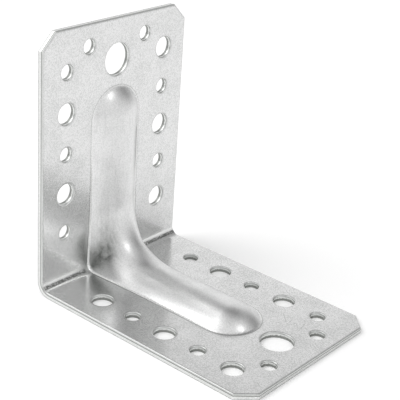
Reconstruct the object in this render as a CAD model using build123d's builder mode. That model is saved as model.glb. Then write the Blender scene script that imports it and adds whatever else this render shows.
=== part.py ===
from build123d import *
from math import atan, cos, degrees, hypot, radians, sin, tan
import os

# Reinforced angle bracket: one blank of galvanised sheet steel, punched, folded once and ribbed.
# Frame: the heel, where the planes of the two outer faces meet, is the origin, in mid-width.
# +X runs along the lying leg, +Z up the standing leg, +Y across the width. Millimetres.

# The blank and its fold
leg_length = 90.0
width = 65.0
sheet = 2.0
bend_inner_radius = 3.0
corner_cut = 5.5

# The punched holes: two columns on each leg, a pair near the tip and one bolt hole
small_hole = 5.0
medium_hole = 7.2
bolt_hole = 11.0
column_spacing = 44.4
first_row = 20.2
row_pitch = 13.95
rows = 5
tip_pair_spacing = 25.4
tip_pair_inset = 7.4
bolt_hole_inset = 14.0
roll_over = 0.3

# The pressed rib: a round arch on each leg, deeper and steeper where it crosses the fold
rib_half_width = 10.6
rib_rise = 4.8
rib_nose_centre = 56.0
rib_corner_radius = 19.0
heel_half_width = 11.4
heel_flank = 74.0
crease_radius = 1.0
mouth_radius = 2.5

# How the rib is drawn: sections across the fold, and two on each leg that lead into them
fold_steps = 8
lead_in = 6.0
overrun = 2.0
touch = 0.01

# Worked out from the sizes above
bend_outer_radius = bend_inner_radius + sheet
ridge_height = sheet + rib_rise
arc_centre = ridge_height + rib_corner_radius
leg_flank = degrees(2 * atan(rib_rise / rib_half_width))
rib_reach = heel_half_width + mouth_radius + crease_radius


def fold_stations():
    """Place and sizes of each rib section across the fold, from the standing leg down."""
    stations = []
    for step in range(fold_steps + 1):
        turn = 90 * step / fold_steps
        angle = radians(turn)
        crown_x = arc_centre - rib_corner_radius * cos(angle)
        crown_z = arc_centre - rib_corner_radius * sin(angle)
        place = Plane(origin=(crown_x, 0, crown_z), x_dir=(0, 1, 0), z_dir=(sin(angle), 0, -cos(angle)))
        lean = cos(radians(min(turn, 90 - turn)))
        swell = sin(2 * angle) ** 2
        depth = (arc_centre - sheet) / lean - rib_corner_radius
        half_width = rib_half_width + (heel_half_width - rib_half_width) * swell
        flank = leg_flank + (heel_flank - leg_flank) * swell
        stations.append((place, depth, half_width, flank, arc_centre / lean - rib_corner_radius + overrun))
    return stations


def rib_section(place, depth, half_width, flank, floor_depth, inset, halved=False):
    """One closed section of the rib, with its crown at the plane's origin.

    The outer skin is a crown arc with a straight flank on each side, and the flanks stand
    half_width from the middle at the given depth. The inset gives the parallel inner skin.
    """
    slope = radians(flank)
    crown_radius = (half_width * sin(slope) - depth * cos(slope)) / (1 - cos(slope))
    radius = crown_radius - inset
    shoulder = radius * cos(slope) - crown_radius
    side = radius * sin(slope)
    foot = side + (shoulder + floor_depth) / tan(slope)
    with BuildSketch(place) as section:
        with BuildLine():
            ThreePointArc((-side, shoulder), (0, -inset), (side, shoulder))
            Polyline((side, shoulder), (foot, -floor_depth), (-foot, -floor_depth), (-side, shoulder))
        make_face()
        if halved:
            split(bisect_by=Plane.YZ)
    return section.sketch


def rib_block(inset):
    """The space under the rib's outer skin, or with the sheet as inset under its inner skin."""
    stations = fold_stations()
    for extra in range(2):
        stations.insert(0, (stations[0][0].offset(-lead_in / 2), *stations[0][1:]))
        stations.append((stations[-1][0].offset(lead_in / 2), *stations[-1][1:]))
    run = rib_nose_centre - arc_centre - lead_in
    with BuildPart() as block:
        loft([rib_section(*station, inset) for station in stations])
        for (place, *sizes), way in ((stations[0], -1), (stations[-1], 1)):
            extrude(rib_section(place, *sizes, inset), amount=way * run)
            nose = place.offset(way * run)
            half = rib_section(nose, *sizes, inset, halved=True)
            revolve(half, axis=Axis(nose.origin, nose.y_dir), revolution_arc=-way * 180)
    return block.part


def fold_outline():
    """The square under both outer faces, rounded at the heel by the fold."""
    with BuildSketch(Plane.XZ) as outline:
        Rectangle(leg_length, leg_length, align=(Align.MIN, Align.MIN))
        fillet(outline.vertices().sort_by_distance((0, 0, 0))[0], bend_outer_radius)
    return outline.sketch


def on_skin(edge, offset, radius):
    """True where an edge lies on the folded sheet's skin at that offset from the outer faces."""
    for share in (0, 0.5, 1):
        point = edge @ share
        if point.X > bend_outer_radius and point.Z > bend_outer_radius:
            return False
        if point.X <= bend_outer_radius and point.Z <= bend_outer_radius:
            gap = hypot(point.X - bend_outer_radius, point.Z - bend_outer_radius) - radius
        else:
            gap = min(point.X, point.Z) - offset
        if abs(gap) > touch:
            return False
    return True


def beside_rib(edge):
    """True where an edge ends in the strip that the rib takes up."""
    return max(abs((edge @ 0).Y), abs((edge @ 1).Y)) < rib_reach


def on_outline(edge):
    """True where an edge runs along the blank's sides, cropped corners or tips."""
    for share in (0, 0.5, 1):
        point = edge @ share
        beside = abs(point.Y) > width / 2 - corner_cut - touch
        beyond = max(point.X, point.Z) > leg_length - corner_cut - touch
        if not (beside or beyond):
            return False
    return not edge.is_closed


with BuildPart() as angle_bracket:
    # Both legs and the fold, as one section through the width
    with BuildSketch(Plane.XZ) as fold:
        add(fold_outline())
        with Locations((sheet, sheet)):
            Rectangle(leg_length, leg_length, align=(Align.MIN, Align.MIN), mode=Mode.SUBTRACT)
        fillet(fold.vertices().sort_by_distance((sheet, 0, sheet))[0], bend_inner_radius)
    extrude(amount=width / 2, both=True)

    # The rib stands up on the inner faces, with a tight crease round its foot
    add(rib_block(0))
    crease = [edge for edge in angle_bracket.edges() if on_skin(edge, sheet, bend_inner_radius)]
    fillet([edge for edge in crease if beside_rib(edge)], crease_radius)

    # What the block reaches past the outer faces is cut off
    extrude(fold_outline(), amount=width / 2, both=True, mode=Mode.INTERSECT)

    # The same rib pressed hollow from behind, with its rounded mouth
    add(rib_block(sheet), mode=Mode.SUBTRACT)
    mouth = [edge for edge in angle_bracket.edges() if on_skin(edge, 0, bend_outer_radius)]
    fillet([edge for edge in mouth if beside_rib(edge)], mouth_radius)

    # Cropped corners at both tips
    tips = angle_bracket.edges().filter_by(Axis.X).group_by(Axis.Z)[-1]
    tips += angle_bracket.edges().filter_by(Axis.Z).group_by(Axis.X)[-1]
    chamfer(tips, corner_cut)

    # The same hole pattern on both legs, turned end for end about the fold
    lying = Plane.XY
    standing = Plane(origin=(0, 0, 0), x_dir=(0, 0, 1), z_dir=(1, 0, 0))
    for leg in (lying, standing):
        with BuildSketch(leg):
            for row in range(rows):
                along = first_row + row * row_pitch
                pair = (small_hole, medium_hole) if row % 2 == 0 else (medium_hole, small_hole)
                for side, diameter in zip((1, -1), pair):
                    with Locations((along, side * column_spacing / 2)):
                        Circle(diameter / 2)
            with Locations((leg_length - tip_pair_inset, 0)):
                with GridLocations(0, tip_pair_spacing, 1, 2):
                    Circle(small_hole / 2)
            with Locations((leg_length - bolt_hole_inset, 0)):
                Circle(bolt_hole / 2)
        extrude(amount=sheet, mode=Mode.SUBTRACT)

    # The blank's outline is rolled over on the inner faces, where the shear went in
    inner = [edge for edge in angle_bracket.edges() if on_skin(edge, sheet, bend_inner_radius)]
    fillet([edge for edge in inner if on_outline(edge)], roll_over)

angle_bracket.part.label = "angle_bracket"
os.makedirs("parts", exist_ok=True)
export_step(angle_bracket.part, "parts/angle_bracket.step")
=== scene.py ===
import math

import bpy
import numpy as np
from mathutils import Matrix, Vector
from mathutils.geometry import delaunay_2d_cdt


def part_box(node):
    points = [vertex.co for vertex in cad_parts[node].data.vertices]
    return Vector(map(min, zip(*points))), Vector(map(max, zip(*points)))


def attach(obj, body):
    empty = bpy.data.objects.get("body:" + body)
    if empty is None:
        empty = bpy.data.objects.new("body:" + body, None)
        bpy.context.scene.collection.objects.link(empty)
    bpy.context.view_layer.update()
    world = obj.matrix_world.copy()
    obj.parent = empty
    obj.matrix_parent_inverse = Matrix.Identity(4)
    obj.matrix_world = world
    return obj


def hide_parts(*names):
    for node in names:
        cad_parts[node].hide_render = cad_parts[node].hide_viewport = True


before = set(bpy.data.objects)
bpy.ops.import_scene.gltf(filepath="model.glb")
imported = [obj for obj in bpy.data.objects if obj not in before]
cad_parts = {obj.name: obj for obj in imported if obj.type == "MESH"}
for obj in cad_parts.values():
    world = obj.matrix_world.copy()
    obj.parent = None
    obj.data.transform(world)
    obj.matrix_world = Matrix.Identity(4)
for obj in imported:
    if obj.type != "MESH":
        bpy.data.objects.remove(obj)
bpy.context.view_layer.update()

boxLow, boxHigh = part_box("angle_bracket")
legLength = boxHigh.x * 1000             # leg and width come from the frame, in millimetres
width = (boxHigh.y - boxLow.y) * 1000


# one sRGB hex colour as linear RGBA, by the sRGB curve
def hexColour(text):
    channels = np.array([int(text[i:i + 2], 16) / 255 for i in (1, 3, 5)])
    linear = np.where(channels <= 0.04045, channels / 12.92, ((channels + 0.055) / 1.055) ** 2.4)
    return (*linear.tolist(), 1.0)


# adds one node and gives one of its outputs, or the node itself for None. A link joins an input to another
# node's output, or fills it with a fixed value. A setting fills a property of the node, or else an input
def addNode(tree, kind, links=None, output=0, **settings):
    made = tree.nodes.new(kind)
    for name, value in settings.items():
        if hasattr(made, name):
            setattr(made, name, value)
        else:
            made.inputs[name.replace("_", " ")].default_value = value
    for name, source in (links or {}).items():
        if isinstance(source, bpy.types.NodeSocket):
            tree.links.new(source, made.inputs[name])
        else:
            made.inputs[name].default_value = source
    return made if output is None else made.outputs[output]


# the bracket: sizes in millimetres, the same as the solid's

bracket = {
    "thick": 2.0, "innerRadius": 3.0, "cornerCut": 5.5,
    "rollOver": 0.46, "breakOut": 0.07,              # rounding of a cut rim, and how far a torn wall opens
    "tornFrom": 0.55, "tornWander": 0.16, "tornFade": 0.12,          # where the tear starts, in depths
    "smallHole": 5.0, "mediumHole": 7.2, "boltHole": 11.0,
    "columnSpacing": 44.4, "firstRow": 20.2, "rowPitch": 13.95, "holeRows": 5,
    "tipPairSpacing": 25.4, "tipPairInset": 7.4, "boltInset": 14.0,
    "ribHalfWidth": 10.6, "ribRise": 4.8, "noseCentre": 56.0, "ribCorner": 19.0,
    "heelHalfWidth": 11.4, "heelFlank": 74.0,        # wider and steeper where the rib crosses the fold
    "creaseRadius": 0.9, "mouthRadius": 2.5,         # bends beside the rib, on the front and on the back
    "bendCap": 1.6,                                  # keeps those bends small where the flank is steep
    # the mesh: spacing of its points, coarse on the plates and fine on and beside the rib
    "plateAlong": 0.95, "plateAcross": 0.8265, "ribAlong": 0.8, "ribAcross": 0.42,
    "ribReach": 15.5, "noseReach": 6.0, "edgeStep": 0.42, "gridClear": 0.3, "sharpFrom": 38.0,
    # its rows beside a cut edge, set in from it, then down the wall, as shares of the depth
    "rimRows": (0.0, 0.035, 0.09, 0.17, 0.26, 0.36, 0.6, 0.9),
    "wallRows": (0.1, 0.22, 0.34, 0.46, 0.58, 0.7, 0.82, 0.92),
    "sideCounts": (14, 108, 14, 340),                # points along a crop, a tip, a crop and a long side
    # darker patches beside the heel: strength, then middle, level stretch and fade along, then middle and
    # fade across
    "heelPatches": ((0.85, -2.0, 2.0, 6.0, -9.5, 3.4), (0.45, -12.0, 0.0, 9.0, -7.0, 3.0)),
}

outerRadius = bracket["innerRadius"] + bracket["thick"]
arcCentre = bracket["thick"] + bracket["ribRise"] + bracket["ribCorner"]
legFlank = 2 * math.atan(bracket["ribRise"] / bracket["ribHalfWidth"])
halfFold = outerRadius * math.pi / 4     # half of the fold's length, flattened at its outer skin
flatEnd = halfFold + legLength - outerRadius
farOff = 99.0                            # stands for a distance that no mark reaches


# centres and radii of the holes on the flat blank: column holes, tip pair and bolt hole of each leg
def holeCentres():
    spots = []
    flat = halfFold - outerRadius
    small, medium, bolt = (bracket[name] / 2 for name in ("smallHole", "mediumHole", "boltHole"))
    for way in (1, -1):
        for row in range(bracket["holeRows"]):
            along = way * (flat + bracket["firstRow"] + row * bracket["rowPitch"])
            for side in (1, -1):
                radius = small if (row % 2 == 0) == (side == way) else medium
                spots.append((along, side * bracket["columnSpacing"] / 2, radius))
        for side in (1, -1):
            along = way * (flatEnd - bracket["tipPairInset"])
            spots.append((along, side * bracket["tipPairSpacing"] / 2, small))
        spots.append((way * (flatEnd - bracket["boltInset"]), 0.0, bolt))
    return np.array(spots)


# how far the rib's skin lies below its crown, at that turn of the fold and distance from the middle. The
# outer skin is a crown arc that meets a straight flank, and the inset gives the skin behind it. The swell
# is the squared sine of twice the turn: nothing on the legs, and full at the heel
def ribDrop(turn, across, inset):
    toFlat = np.radians(np.minimum(turn, 90 - turn))
    swell = np.sin(2 * np.radians(turn)) ** 2
    depth = (arcCentre - bracket["thick"]) / np.cos(toFlat) - bracket["ribCorner"]
    half = bracket["ribHalfWidth"] + (bracket["heelHalfWidth"] - bracket["ribHalfWidth"]) * swell
    slope = legFlank + (math.radians(bracket["heelFlank"]) - legFlank) * swell
    crown = (half * np.sin(slope) - depth * np.cos(slope)) / (1 - np.cos(slope))
    radius = crown - inset
    side = radius * np.sin(slope)
    arc = crown - np.sqrt(np.maximum(radius ** 2 - np.minimum(across, side) ** 2, 0))
    return arc + np.maximum(across - side, 0) * np.tan(slope), slope


# points of the folded and ribbed sheet, from the flat blank's points. Each point sits at its height over
# the outer faces, with the fold as an arc about its axis. The rib then moves it along the ray from the
# rib's own centre line, to the nearer of sheet and rib, and a smooth minimum rounds the crease between the
# two: the nearer one, less (the blend's width less their gap) squared over four widths
def place(flat, across, height, skin, pressed=True):
    turn = np.radians(45 * (1 + np.clip(flat / halfFold, -1, 1)))
    reach = np.maximum(np.abs(flat) - halfFold, 0)
    x = outerRadius - (outerRadius - height) * np.cos(turn) + reach * (flat > 0)
    z = outerRadius - (outerRadius - height) * np.sin(turn) + reach * (flat < 0)
    if not pressed:
        return np.stack([x, across, z], axis=1), np.full(len(x), farOff)
    centreX, centreZ = np.maximum(arcCentre, x), np.maximum(arcCentre, z)
    dx, dz = x - centreX, z - centreZ
    base = np.hypot(dx, dz)
    angle = np.degrees(np.arctan2(-dz, -dx))
    past = np.maximum(np.maximum(x, z) - bracket["noseCentre"], 0)
    inset = 0.0 if skin == "front" else bracket["thick"]
    drop, slope = ribDrop(angle, np.hypot(past, across), inset)
    pressedTo = bracket["ribCorner"] + drop
    bend = bracket["creaseRadius"] if skin == "front" else bracket["mouthRadius"]
    blend = bend * np.minimum(np.tan(slope / 2) * np.tan(slope), bracket["bendCap"])
    gap = pressedTo - base               # negative on the rib, positive on the flat sheet
    radius = np.minimum(base, pressedTo) - np.maximum(blend - np.abs(gap), 0) ** 2 / (4 * blend)
    x = centreX + dx / base * radius
    z = centreZ + dz / base * radius
    return np.stack([x, across, z], axis=1), gap * np.cos(slope)


# circles about a hole on the flat blank, one for each radius: the centre plus the radius times the cosine
# and sine of each turn. Points stand about one edge step apart on the first
def ring(centre, radii):
    count = 4 * round(math.tau * radii[0] / bracket["edgeStep"] / 4)
    turns = np.arange(count) / count * math.tau
    along = centre[0] + np.outer(radii, np.cos(turns))
    across = centre[1] + np.outer(radii, np.sin(turns))
    return np.stack([along, across], axis=2)


# closed rows of points along the blank's outline, each row set in from the edge by its inset
def outlineRows(insets):
    rows = []
    for inset in insets:
        longHalf, wideHalf = flatEnd - inset, width / 2 - inset
        cut = bracket["cornerCut"] - inset * (2 - math.sqrt(2))
        half = np.array([(longHalf - cut, wideHalf), (longHalf, wideHalf - cut),
                         (longHalf, cut - wideHalf), (longHalf - cut, -wideHalf)])
        corners = np.concatenate([half, -half])          # the other end is the same, turned half a turn
        sides = zip(corners, np.roll(corners, -1, 0), bracket["sideCounts"] * 2)
        rows.append(np.concatenate([a + np.arange(n)[:, None] / n * (b - a) for a, b, n in sides]))
    return np.array(rows)


# distance of points of the flat blank from its long side, tip or cropped corner, the nearest of them
def outlineDistance(points):
    along, across = np.abs(points[:, 0]), np.abs(points[:, 1])
    diagonal = (flatEnd + width / 2 - bracket["cornerCut"] - along - across) / math.sqrt(2)
    return np.minimum(np.minimum(flatEnd - along, width / 2 - across), diagonal)


# staggered rows of points over a rectangle about the middle of the blank
def gridPoints(stepAlong, stepAcross, longHalf, wideHalf):
    along = np.arange(-longHalf, longHalf + stepAlong / 2, stepAlong)
    across = np.arange(-wideHalf, wideHalf + stepAcross / 2, stepAcross)
    gridAlong, gridAcross = np.meshgrid(along, across, indexing="ij")
    gridAcross = gridAcross + stepAcross / 2 * (np.arange(len(along)) % 2)[:, None]
    return np.stack([gridAlong.ravel(), gridAcross.ravel()], axis=1)


# the flat blank as triangles: rows round each hole and the outline, and a grid between them
def blankMesh():
    spots = holeCentres()
    rims = [ring((a, b), radius + np.array(bracket["rimRows"])) for a, b, radius in spots]
    outline = outlineRows(bracket["rimRows"])
    ribLong = bracket["noseCentre"] + bracket["ribHalfWidth"] + bracket["noseReach"]
    ribWide = bracket["ribReach"]
    coarse = gridPoints(bracket["plateAlong"], bracket["plateAcross"], flatEnd, width / 2)
    fineGrid = gridPoints(bracket["ribAlong"], bracket["ribAcross"], ribLong, ribWide)
    nearRib = (np.abs(coarse[:, 0]) < ribLong + 0.5) & (np.abs(coarse[:, 1]) < ribWide + 0.5)
    grid = np.concatenate([coarse[~nearRib], fineGrid])
    clear = bracket["rimRows"][-1] + bracket["gridClear"]        # the grid stops this far from any cut edge
    grid = grid[outlineDistance(grid) > clear]
    for a, b, radius in spots:
        grid = grid[np.hypot(grid[:, 0] - a, grid[:, 1] - b) > radius + clear]
    loops = [rim[0] for rim in rims] + [outline[0]]
    others = np.concatenate([rim[1:].reshape(-1, 2) for rim in rims] + [outline[1:].reshape(-1, 2), grid])
    points = np.concatenate(loops + [others])
    # a triangle whose corners are all on one cut edge lies in a hole or outside the outline, so it goes
    owner = np.full(len(points), -1)
    owner[:-len(others)] = np.repeat(np.arange(len(loops)), [len(loop) for loop in loops])
    triangles = np.array(delaunay_2d_cdt([Vector(p) for p in points.tolist()], [], [], 0, 1e-7)[2])
    owners = owner[triangles]
    filled = (owners[:, 0] >= 0) & (owners[:, 0] == owners[:, 1]) & (owners[:, 1] == owners[:, 2])
    triangles = triangles[~filled]
    a, b, c = points[triangles[:, 0]], points[triangles[:, 1]], points[triangles[:, 2]]
    turned = np.cross(b - a, c - a) < 0
    triangles[turned] = triangles[turned][:, ::-1]
    return points, triangles, loops, spots


# distance of each point of the blank from the nearest cut edge
def edgeDistance(points, spots):
    nearest = outlineDistance(points)
    for a, b, radius in spots:
        nearest = np.minimum(nearest, np.hypot(points[:, 0] - a, points[:, 1] - b) - radius)
    return np.maximum(nearest, 0)


# a smooth wobble between -1 and 1 along a loop, as a sum of a few sines of seeded phase
def ripple(values, seed, waves=5):
    chance = np.random.default_rng(seed)
    phases = chance.uniform(0, math.tau, waves)
    speeds = chance.uniform(0.6, 3.4, waves)
    return np.sin(np.outer(values, speeds) + phases).sum(axis=1) / waves


# unit directions from a cut edge into the metal: away from a hole's centre, or in from the outline
def intoMetal(loop, hole):
    if hole is not None:
        return (loop - hole[:2]) / hole[2]
    tangent = np.roll(loop, -1, 0) - np.roll(loop, 1, 0)
    inward = np.stack([tangent[:, 1], -tangent[:, 0]], axis=1)
    inward = inward / np.linalg.norm(inward, axis=1)[:, None]
    return np.where((inward * loop).sum(axis=1)[:, None] > 0, -inward, inward)


# rows of points down a cut wall. It is smooth where the punch cut, and below a wandering line it is torn:
# it opens into the metal by the break-out, roughened by half the mean of two ripples
def wallPoints(loop, hole, seed):
    steps = np.arange(len(loop))
    direction = intoMetal(loop, hole)
    torn = bracket["tornFrom"] + bracket["tornWander"] * ripple(steps * 0.35, 11 + seed)
    rows = []
    for share in bracket["wallRows"]:
        opened = np.clip((share - torn) / bracket["tornFade"], 0, 1) * (1 - 0.35 * share)
        coarse = ripple(steps * 1.9 + share * 40, 50 + seed)
        small = ripple(steps * 4.3 + share * 90, 90 + seed)
        offset = bracket["breakOut"] * opened * (1 + 0.25 * (coarse + small))
        spot = loop + direction * offset[:, None]
        height = np.full(len(loop), (bracket["thick"] - bracket["rollOver"]) * (1 - share))
        rows.append(place(spot[:, 0], spot[:, 1], height, "front", pressed=False)[0])
    return rows


# pairs of triangles between neighbouring rows of a closed wall, from the top row down
def wallFaces(levels, turned):
    faces = []
    for upper, lower in zip(levels[:-1], levels[1:]):
        upperNext, lowerNext = np.roll(upper, -1), np.roll(lower, -1)
        one = np.stack([upper, upperNext, lowerNext], axis=1)
        two = np.stack([upper, lowerNext, lower], axis=1)
        faces += [one[:, ::-1], two[:, ::-1]] if turned else [one, two]
    return faces


# how dark the rib is made beside the heel at each point of the blank: a sum of soft patches, each its
# strength times e to the minus squared distance along, past a level stretch, and across, in fades
def heelDarkening(flat):
    rub = np.zeros(len(flat))
    for strength, middle, level, fadeAlong, side, fadeAcross in bracket["heelPatches"]:
        past = np.maximum(np.abs(flat[:, 0] - middle) - level, 0)
        rub += strength * np.exp(-(past / fadeAlong) ** 2 - ((flat[:, 1] - side) / fadeAcross) ** 2)
    return rub


# both skins of the pressed sheet and the cut walls between them, as one closed mesh. A rim is drawn down by
# a quarter circle of the roll-over's radius. Each point carries its distances for the zinc coat to read
def makeBracket():
    flat, triangles, loops, spots = blankMesh()
    distance = edgeDistance(flat, spots)
    roll = bracket["rollOver"]
    sag = roll - np.sqrt(np.maximum(roll ** 2 - np.maximum(roll - distance, 0) ** 2, 0))
    front, creaseGap = place(flat[:, 0], flat[:, 1], bracket["thick"] - sag, "front")
    back = place(flat[:, 0], flat[:, 1], np.zeros(len(flat)), "back")[0]
    count = len(flat)
    points = [front, back]
    faces = [triangles, triangles[:, ::-1] + count]
    marks = {"cutWall": [np.zeros(2 * count)], "holeWall": [np.zeros(2 * count)],
             "cutDepth": [np.zeros(count), np.ones(count)], "rimDistance": [distance] * 2,
             "creaseGap": [creaseGap, np.full(count, farOff)], "foldGap": [np.abs(flat[:, 0])] * 2,
             "heelDarkening": [heelDarkening(flat)] * 2}
    # a wall's points lie off every mark of the skins
    onWall = {"cutWall": 1.0, "creaseGap": farOff, "rimDistance": 0.0, "foldGap": 9.0, "heelDarkening": 0.0}
    start, base = 0, 2 * count
    for index, loop in enumerate(loops):
        hole = spots[index] if index < len(spots) else None
        rows = wallPoints(loop, hole, index)
        steps = np.arange(len(loop))
        levels = [base + row * len(loop) + steps for row in range(len(rows))]
        faces += wallFaces([start + steps] + levels + [count + start + steps], hole is None)
        points += rows
        added = len(rows) * len(loop)
        for name, value in onWall.items():
            marks[name].append(np.full(added, value))
        marks["holeWall"].append(np.full(added, 0.0 if hole is None else 1.0))
        marks["cutDepth"].append(np.repeat(bracket["wallRows"], len(loop)))
        start += len(loop)
        base += added
    points = np.concatenate(points) / 1000
    faces = np.concatenate(faces)
    mesh = bpy.data.meshes.new("bracketSheet")
    mesh.from_pydata(points, [], faces)
    for name, values in marks.items():
        carried = mesh.attributes.new(name, "FLOAT", "POINT")
        carried.data.foreach_set("value", np.concatenate(values).astype(np.float32))
    mesh.validate()
    mesh.shade_smooth()
    mesh.set_sharp_from_angle(angle=math.radians(bracket["sharpFrom"]))
    piece = bpy.data.objects.new("bracketSheet", mesh)
    bpy.context.scene.collection.objects.link(piece)
    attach(piece, "root")
    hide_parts("angle_bracket")
    print("sheet modelled:", len(points), "points", len(faces), "triangles")
    return piece


# galvanised sheet steel: dipped in zinc, rolled, then punched and pressed

coatLook = {
    "bright": "#f3f3f3", "dull": "#dadbda", "speck": "#9a9d9a",      # grain of the plates
    "darkTint": "#60635f", "paintedHighlight": "#fafbfa",         # a dark tint, and the colour of the painted highlights
    # crease: grey for the crease's painted shade line, and for the faint lip round a cut rim
    "crease": "#8a8d8a", "crazed": "#5a5d59", "rolled": "#d2d4d2",
    "brightTint": "#f8f9f8", "striated": "#c4c6c3", "torn": "#5c5f59",        # bare steel of a cut wall
    "plateRoughness": 0.2, "ribRoughness": 0.3,
    # pattern sizes in millimetres. Real grain is finer than a pixel, so it is drawn wide enough to show
    "grainSize": 0.43, "speckSize": 0.55, "mottleSize": 1.1, "cloudSize": 9.0, "streakSize": 0.5,
    "crazeSize": 0.5, "reliefDepth": 0.02, "reliefStrength": 0.5,
    # how far each mark moves the colour, from 0 to 1
    "ribShine": 0.3, "ribStreaks": 0.09, "heelDark": 0.98, "heelDarkMost": 0.97, "paintedShadeSliver": 0.5, "specks": 0.5,
    "crazing": 0.85, "paintedBorderHighlights": 0.65, "rolling": 0.75, "lip": 0.22, "seam": 0.95, "footLine": 0.8, "pits": 0.7,
    "striation": 0.4, "scratching": 0.5, "scratchWidth": 0.26,
    "scratches": (((67.4, 14.9), (70.5, 12.2)), ((71.2, 14.8), (71.9, 10.9)), ((69.1, 9.4), (70.7, 11.9)),
                  ((72.5, 11.0), (73.7, 13.6)), ((73.9, 13.3), (76.6, 10.4)), ((76.7, 11.7), (75.9, 14.9)),
                  ((85.9, -22.7), (87.3, -23.5))),
    # where a mark is gone and where it is full, in millimetres past the crease (less than 0 is on the rib)
    "ribFrom": (0.25, -0.35), "plateFrom": (-0.1, 0.3), "crazeClear": (1.6, 2.8),
    "paintedHighlightSpans": ((-0.24, 0.0), (0.36, 0.12)), "creaseShadeLineSpans": ((0.3, 0.42), (0.66, 0.5)),
    "cornerSpans": ((-0.2, 0.1), (2.4, 1.4)), "paintedShadeSliverSpans": ((-3.0, -2.0), (-0.2, -0.8)),
    # the painted shade sliver's side of the middle and its heights
    "paintedShadeSliverSide": (4.0, 8.0), "paintedShadeSliverHeights": ((53.0, 50.0), (30.0, 46.0)),
    # and in millimetres from the fold's middle, or from a cut rim
    "crazedFold": (1.25, 0.7), "borderFold": ((1.3, 1.9), (3.4, 2.4)), "cornerFold": (3.0, 1.2),
    "heelFold": (34.0, 12.0), "rolledRim": (0.5, 0.1), "lipRim": ((0.4, 0.5), (0.68, 0.56)),
}
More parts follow.
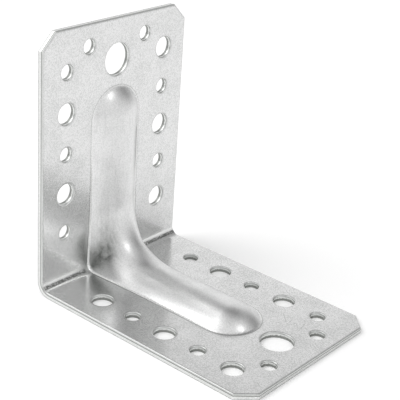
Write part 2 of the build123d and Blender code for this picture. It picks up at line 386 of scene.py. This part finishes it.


# zinc-coated steel. To the eye the plates are a satin metal with fine grain and faint clouds, the rib is
# streaked and darkest in patches beside the heel, the fold is crazed, and the cut walls are bright above
# and torn dark below. Painted highlights lie along the crease, beside the fold and at the heel's corner,
# and painted shade lies along the crease
def galvanisedSheet():
    material = bpy.data.materials.new("galvanisedSheetSteel")
    material.use_nodes = True
    tree = material.node_tree
    tree.nodes.clear()
    spot = addNode(tree, "ShaderNodeTexCoord", output="Object")
    millimetres = addNode(tree, "ShaderNodeVectorMath", {0: spot}, operation="SCALE", Scale=1000.0)
    wall, depth, gap, rim, fold, pierced, heelDark = (
        addNode(tree, "ShaderNodeAttribute", output="Fac", attribute_name=name)
        for name in ("cutWall", "cutDepth", "creaseGap", "rimDistance", "foldGap", "holeWall", "heelDarkening"))

    # where several marks meet: their product
    def overlap(mark, *others):
        for other in others:
            mark = addNode(tree, "ShaderNodeMath", {0: mark, 1: other}, operation="MULTIPLY")
        return mark

    # how strongly a mark shows: each span says where it is gone and where it is full
    def fade(value, span, otherSpan=None, low=0.0, high=1.0):
        shown = addNode(tree, "ShaderNodeMapRange", {"Value": value}, interpolation_type="SMOOTHSTEP",
                        From_Min=span[0], From_Max=span[1], To_Min=low, To_Max=high)
        return shown if otherSpan is None else overlap(shown, fade(value, otherSpan))

    # blotches of about a size in millimetres: fractal noise, shifted so that no two patterns match
    def pattern(size, detail, shift=0.0):
        moved = addNode(tree, "ShaderNodeMapping", {"Vector": millimetres}, Location=(shift,) * 3)
        return addNode(tree, "ShaderNodeTexNoise", {"Vector": moved}, Scale=1 / size, Detail=detail,
                       Roughness=0.62)

    # the colour, moved towards a tint where all of the marks meet
    def paint(colour, tint, *marks):
        return addNode(tree, "ShaderNodeMix", {"Factor": overlap(*marks), 6: colour, 7: hexColour(tint)},
                       output=2, data_type="RGBA")

    # faint strokes left by handling, each as the distance from a short straight line on the lying leg
    def scratches():
        flatSpot = addNode(tree, "ShaderNodeVectorMath", {0: millimetres, 1: (1, 1, 0.05)},
                           operation="MULTIPLY")
        deepest = 0.0
        for (fromX, fromY), (toX, toY) in coatLook["scratches"]:
            run = Vector((toX - fromX, toY - fromY, 0))
            offset = addNode(tree, "ShaderNodeVectorMath", {0: flatSpot, 1: (fromX, fromY, 0)},
                             operation="SUBTRACT")
            along = addNode(tree, "ShaderNodeVectorMath", {0: offset, 1: run / run.length_squared},
                            output="Value", operation="DOT_PRODUCT")
            share = addNode(tree, "ShaderNodeClamp", {"Value": along})
            nearest = addNode(tree, "ShaderNodeVectorMath", {0: run, "Scale": share}, operation="SCALE")
            away = addNode(tree, "ShaderNodeVectorMath", {0: offset, 1: nearest}, output="Value",
                           operation="DISTANCE")
            stroke = fade(away, (coatLook["scratchWidth"], coatLook["scratchWidth"] * 0.3))
            deepest = addNode(tree, "ShaderNodeMath", {0: stroke, 1: deepest}, operation="MAXIMUM")
        return overlap(deepest, fade(pattern(0.8, 2.0, 41.0), (0.35, 0.6), low=0.25))

    # plates: fine grain, faint clouds and a few dark specks
    grain = pattern(coatLook["grainSize"], 3.0)
    clouds = pattern(coatLook["cloudSize"], 3.0, 17.0)
    mottle = pattern(coatLook["mottleSize"], 4.0, 5.0)
    specks = pattern(coatLook["speckSize"], 2.0, 31.0)
    dulled = addNode(tree, "ShaderNodeMath", {0: grain, 1: 0.8, 2: overlap(clouds, 0.2)},
                     operation="MULTIPLY_ADD")
    colour = paint(hexColour(coatLook["bright"]), coatLook["dull"], fade(dulled, (0.4, 0.62)))
    colour = paint(colour, coatLook["speck"], fade(specks, (0.74, 0.8)), coatLook["specks"])
    colour = paint(colour, coatLook["speck"], scratches(), coatLook["scratching"])

    # the rib's skin is drawn over the tool: brighter, with streaks along it. It is darkest in patches
    # beside the heel
    onRib = fade(gap, coatLook["ribFrom"])
    travel = addNode(tree, "ShaderNodeVectorMath", {0: millimetres, 1: (0.2, 0, -0.2)}, output="Value",
                     operation="DOT_PRODUCT")
    axes = addNode(tree, "ShaderNodeSeparateXYZ", {0: millimetres}, output=None).outputs
    alongRib = addNode(tree, "ShaderNodeCombineXYZ", {"X": axes["Y"], "Y": travel})
    drawn = addNode(tree, "ShaderNodeTexNoise", {"Vector": alongRib}, Scale=0.9, Detail=5.0, Roughness=0.6)
    colour = paint(colour, coatLook["bright"], onRib, coatLook["ribShine"])
    darkTint = overlap(onRib, heelDark, fade(drawn, (0.36, 0.6), low=0.72), fade(mottle, (0.36, 0.6), low=0.88),
                     coatLook["heelDark"])
    darkTint = addNode(tree, "ShaderNodeMath", {0: darkTint, 1: coatLook["heelDarkMost"]}, operation="MINIMUM")
    colour = paint(colour, coatLook["darkTint"], onRib, fade(drawn, (0.46, 0.7)), coatLook["ribStreaks"])
    colour = paint(colour, coatLook["darkTint"], darkTint)
    # painted shade: one dull sliver inside the crease of the standing leg, in place of a dark reflection
    # there
    paintedShadeSliver = overlap(fade(gap, *coatLook["paintedShadeSliverSpans"]), fade(axes["Y"], coatLook["paintedShadeSliverSide"]),
                     fade(axes["Z"], *coatLook["paintedShadeSliverHeights"]))
    colour = paint(colour, coatLook["darkTint"], paintedShadeSliver, coatLook["paintedShadeSliver"])

    # the crease: a painted highlight along the bend and a thin painted shade line where the plate begins,
    # both fainter far from the heel
    paintedHighlight = fade(gap, *coatLook["paintedHighlightSpans"])
    creaseShadeLine = fade(gap, *coatLook["creaseShadeLineSpans"])
    nearHeel = fade(fold, coatLook["heelFold"])
    colour = paint(colour, coatLook["paintedHighlight"], paintedHighlight, fade(nearHeel, (0.0, 1.0), low=0.25, high=0.95))
    colour = paint(colour, coatLook["crease"], creaseShadeLine, fade(nearHeel, (0.0, 1.0), low=0.36, high=0.7))

    # the fold: crazed zinc along its middle, with a painted highlight on each side and at the rib's corner
    crazed = overlap(fade(fold, coatLook["crazedFold"]), fade(gap, coatLook["crazeClear"]),
                     fade(pattern(coatLook["crazeSize"], 4.0, 3.0), (0.34, 0.56)), coatLook["crazing"])
    paintedBorderHighlights = overlap(fade(fold, *coatLook["borderFold"]), fade(gap, coatLook["plateFrom"]),
                      coatLook["paintedBorderHighlights"])
    paintedCornerHighlight = overlap(fade(fold, coatLook["cornerFold"]), fade(gap, *coatLook["cornerSpans"]))
    brightTint = addNode(tree, "ShaderNodeMath", {0: paintedBorderHighlights, 1: paintedCornerHighlight}, operation="MAXIMUM")
    colour = paint(colour, coatLook["paintedHighlight"], brightTint)
    colour = paint(colour, coatLook["crazed"], crazed)

    # cut rims: a dulled roll-over with a faint lip round it
    onSkin = addNode(tree, "ShaderNodeMath", {0: 1.0, 1: wall}, operation="SUBTRACT")
    rolled = overlap(fade(rim, coatLook["rolledRim"]), onSkin)
    colour = paint(colour, coatLook["rolled"], rolled, coatLook["rolling"])
    colour = paint(colour, coatLook["crease"], fade(rim, *coatLook["lipRim"]), coatLook["lip"])

    # cut walls, by their depth from 0 to 1. A hole's is torn from its middle down, and the outline's has a
    # thin dark seam under the roll-over and a thin dark line at its foot
    streaks = pattern(coatLook["streakSize"], 4.0, 9.0)
    cropped = addNode(tree, "ShaderNodeMath", {0: wall, 1: pierced}, operation="SUBTRACT")
    uneven = addNode(tree, "ShaderNodeMath", {0: streaks, 1: 0.5}, operation="SUBTRACT")
    ragged = addNode(tree, "ShaderNodeMath", {0: uneven, 1: 0.4, 2: depth}, operation="MULTIPLY_ADD")
    nearTop = addNode(tree, "ShaderNodeMath", {0: uneven, 1: 0.12, 2: depth}, operation="MULTIPLY_ADD")
    seam = overlap(fade(nearTop, (0.0, 0.05), (0.24, 0.16)), coatLook["seam"])
    footLine = overlap(fade(depth, (0.86, 0.93)), coatLook["footLine"])
    edges = addNode(tree, "ShaderNodeMath", {0: seam, 1: footLine}, operation="MAXIMUM")
    pits = overlap(pierced, fade(ragged, (0.3, 0.46)), coatLook["pits"])
    torn = addNode(tree, "ShaderNodeMath", {0: pits, 1: overlap(cropped, edges)}, operation="MAXIMUM")
    colour = paint(colour, coatLook["brightTint"], wall)
    colour = paint(colour, coatLook["striated"], wall, fade(streaks, (0.35, 0.6)), coatLook["striation"])
    colour = paint(colour, coatLook["torn"], torn)

    # roughness: a little cloudy, higher on the rib and on rolled, cut and torn metal, lower on the crease's
    # painted highlight
    plate = coatLook["plateRoughness"]
    rough = fade(clouds, (0.3, 0.7), low=plate - 0.02, high=plate + 0.05)
    changes = ((onRib, coatLook["ribRoughness"] - plate), (rolled, 0.14), (wall, 0.14), (torn, 0.14),
               (paintedHighlight, -0.08))
    for mark, change in changes:
        rough = addNode(tree, "ShaderNodeMath", {0: mark, 1: change, 2: rough}, operation="MULTIPLY_ADD")
    # relief: the grain and the mottle, flatter on the rib
    mixed = addNode(tree, "ShaderNodeMath", {0: grain, 1: 0.7, 2: overlap(mottle, 0.3)},
                    operation="MULTIPLY_ADD")
    flatter = addNode(tree, "ShaderNodeMath", {0: onRib, 1: -0.3, 2: 1.0}, operation="MULTIPLY_ADD")
    bump = addNode(tree, "ShaderNodeBump", {"Height": overlap(mixed, flatter)},
                   Strength=coatLook["reliefStrength"], Distance=coatLook["reliefDepth"] / 1000)
    shader = addNode(tree, "ShaderNodeBsdfPrincipled",
                     {"Base Color": colour, "Roughness": rough, "Normal": bump}, Metallic=1.0)
    addNode(tree, "ShaderNodeOutputMaterial", {"Surface": shader}, output=None)
    return material


# camera: fitted to the hole centres and corners of the part in its reference view

view = {"place": (0.24246, -0.24819, 0.18624), "azimuth": 39.115, "elevation": 24.732, "roll": 4.042,
        "focalPixels": 1100.14, "framePixels": 400.0, "sensor": 36.0}


# looks along the azimuth and elevation, then rolls about its own axis
def makeCamera():
    azimuth, elevation, roll = (math.radians(view[name]) for name in ("azimuth", "elevation", "roll"))
    back = Vector((math.sin(azimuth) * math.cos(elevation), -math.cos(azimuth) * math.cos(elevation),
                   math.sin(elevation)))
    data = bpy.data.cameras.new("partCamera")
    data.sensor_width = view["sensor"]
    data.lens = view["focalPixels"] / view["framePixels"] * view["sensor"]
    data.clip_start, data.clip_end = 0.01, 20.0
    camera = bpy.data.objects.new("partCamera", data)
    turned = back.to_track_quat("Z", "Y").to_matrix().to_4x4() @ Matrix.Rotation(roll, 4, "Z")
    camera.matrix_world = Matrix.Translation(view["place"]) @ turned
    bpy.context.scene.collection.objects.link(camera)
    bpy.context.scene.camera = camera


# studio: pale floor, soft surroundings with a few wide lobes of light and shade, two soft lamps

studio = {
    "level": 0.82, "darkest": 0.04,                  # of the surroundings
    # each lobe has a direction, a power and a gain: a higher power is narrower, and a gain below 0 is shade
    "lobes": (((-0.56, -0.15, 0.81), 8, 0.84), ((-0.57, -0.48, 0.67), 10, 0.62),
              ((0.62, 0.15, 0.77), 260, 2.9), ((-0.12, -0.98, 0.1), 8, -0.8),
              ((-0.56, 0.35, 0.75), 24, -0.5), ((-0.2, -0.05, 0.98), 14, -0.35),
              ((-0.25, 0.35, 0.9), 12, -0.3), ((0.5, 0.68, 0.53), 16, -0.31),
              ((-0.6, 0.7, 0.4), 12, 0.15), ((-0.08, 0.6, 0.8), 14, -0.4), ((0.2, 0.9, 0.35), 24, -0.5)),
    # name, place, width, power, and whether the metal mirrors it: the key lights the floor alone, and the
    # metal mirrors the soft lobes in its place
    "lamps": (("keyLamp", (-0.45, -0.5, 0.95), 0.9, 3.7, False),
              ("fillLamp", (0.72, 0.17, 0.9), 0.2, 0.2, True)),
    "lampAim": (0.045, 0, 0.04),
    "floor": "#f7f7f7", "floorHalf": 4.0,
    "floorLift": 0.12, "farLift": 0.35, "liftReach": (0.5, 2.5),     # glow near and far, and its reaches
}


# surroundings as a level plus lobes: each adds its gain times the cosine to its direction, to its power
def makeWorld():
    world = bpy.data.worlds.new("studio")
    bpy.context.scene.world = world
    world.use_nodes = True
    tree = world.node_tree
    tree.nodes.clear()
    ray = addNode(tree, "ShaderNodeTexCoord", output="Generated")
    total = studio["level"]
    for direction, power, gain in studio["lobes"]:
        cosine = addNode(tree, "ShaderNodeVectorMath", {0: ray, 1: Vector(direction).normalized()},
                         output="Value", operation="DOT_PRODUCT")
        facing = addNode(tree, "ShaderNodeMath", {0: cosine, 1: 0.0}, operation="MAXIMUM")
        lobe = addNode(tree, "ShaderNodeMath", {0: facing, 1: power}, operation="POWER")
        total = addNode(tree, "ShaderNodeMath", {0: lobe, 1: gain, 2: total}, operation="MULTIPLY_ADD")
    level = addNode(tree, "ShaderNodeMath", {0: total, 1: studio["darkest"]}, operation="MAXIMUM")
    soft = addNode(tree, "ShaderNodeBackground", {"Strength": level}, Color=(1, 1, 1, 1))
    white = addNode(tree, "ShaderNodeBackground", Color=(1, 1, 1, 1), Strength=1.0)
    fromCamera = addNode(tree, "ShaderNodeLightPath", output="Is Camera Ray")
    mixed = addNode(tree, "ShaderNodeMixShader", {0: fromCamera, 1: soft, 2: white})
    addNode(tree, "ShaderNodeOutputWorld", {"Surface": mixed}, output=None)


# soft round lamps, each turned towards the middle of the bracket
def makeLamps():
    for name, spot, size, power, mirrored in studio["lamps"]:
        data = bpy.data.lights.new(name, "AREA")
        data.shape, data.size, data.energy = "DISK", size, power
        lamp = bpy.data.objects.new(name, data)
        aim = Vector(studio["lampAim"]) - Vector(spot)
        lamp.matrix_world = Matrix.Translation(spot) @ aim.to_track_quat("-Z", "Y").to_matrix().to_4x4()
        lamp.visible_glossy = mirrored
        bpy.context.scene.collection.objects.link(lamp)


# a pale matt floor, lifted a little for the camera alone, so that it ends white and keeps its soft shadow
def makeFloor():
    mesh = bpy.data.meshes.new("floor")
    half = studio["floorHalf"]
    corners = [(-half, -half, 0), (half, -half, 0), (half, half, 0), (-half, half, 0)]
    mesh.from_pydata(corners, [], [(0, 1, 2, 3)])
    floor = bpy.data.objects.new("floor", mesh)
    paint = bpy.data.materials.new("paleFloor")
    paint.use_nodes = True
    tree = paint.node_tree
    tree.nodes.clear()
    matt = addNode(tree, "ShaderNodeBsdfDiffuse", Color=hexColour(studio["floor"]))
    spot = addNode(tree, "ShaderNodeTexCoord", output="Object")
    reach = addNode(tree, "ShaderNodeVectorMath", {0: spot}, output="Value", operation="LENGTH")
    near, far = studio["liftReach"]
    lift = addNode(tree, "ShaderNodeMapRange", {"Value": reach}, From_Min=near, From_Max=far,
                   To_Min=studio["floorLift"], To_Max=studio["farLift"])
    fromCamera = addNode(tree, "ShaderNodeLightPath", output="Is Camera Ray")
    seen = addNode(tree, "ShaderNodeMath", {0: fromCamera, 1: lift}, operation="MULTIPLY")
    glow = addNode(tree, "ShaderNodeEmission", {"Strength": seen}, Color=(1, 1, 1, 1))
    both = addNode(tree, "ShaderNodeAddShader", {0: matt, 1: glow})
    addNode(tree, "ShaderNodeOutputMaterial", {"Surface": both}, output=None)
    mesh.materials.append(paint)
    bpy.context.scene.collection.objects.link(floor)


bracketPiece = makeBracket()
bracketPiece.data.materials.append(galvanisedSheet())
print("zinc coat painted")
makeCamera()
print("camera set")
makeWorld()
makeLamps()
makeFloor()
print("studio lit")
bpy.context.scene.view_settings.view_transform = "Standard"
